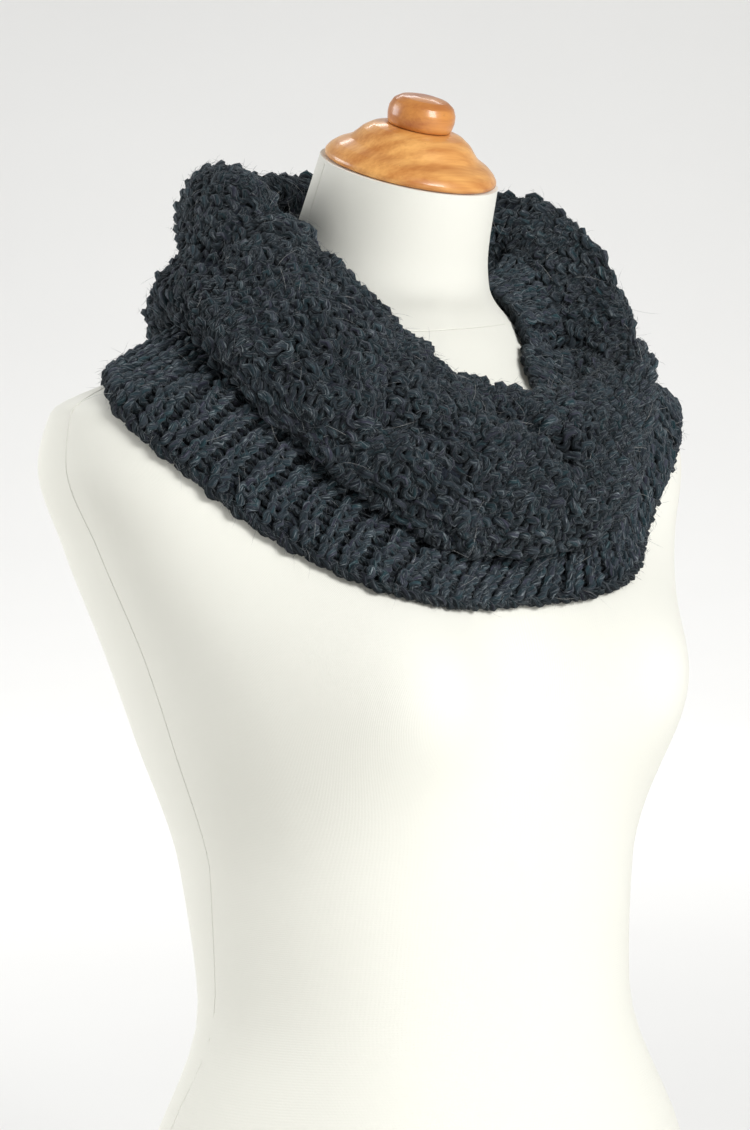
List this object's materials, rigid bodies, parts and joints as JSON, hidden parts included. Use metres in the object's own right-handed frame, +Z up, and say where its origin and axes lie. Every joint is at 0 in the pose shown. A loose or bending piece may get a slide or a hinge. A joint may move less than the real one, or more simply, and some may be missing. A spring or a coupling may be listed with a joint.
{
  "type": "infinity scarf on limbless dress form",
  "caption": "Chunky knitted infinity scarf with ribbed edges, slouched in a soft roll round the neck and shoulders of a limbless jersey dress form with a turned wooden neck cap.",
  "frame": {"origin": "centre of the bounding box across and front to back, on the form's flat base", "axes": "+Z up the form, the form's front faces -Y, the form's own right is -X"},
  "size_m": [0.4154, 0.2814, 0.748],
  "materials": {
    "ivory_jersey": "matte cotton jersey",
    "slate_yarn": "heathered woollen yarn with a soft halo",
    "varnished_beech": "clear gloss varnish"
  },
  "bodies": {
    "root": {"scarf_lower_band": "slate_yarn", "scarf_panel_outer": "slate_yarn", "scarf_panel_inner": "slate_yarn", "scarf_upper_band": "slate_yarn", "form_body": "ivory_jersey", "form_neck_cap": "varnished_beech", "form_cap_knob": "varnished_beech"}
  },
  "joints": []
}
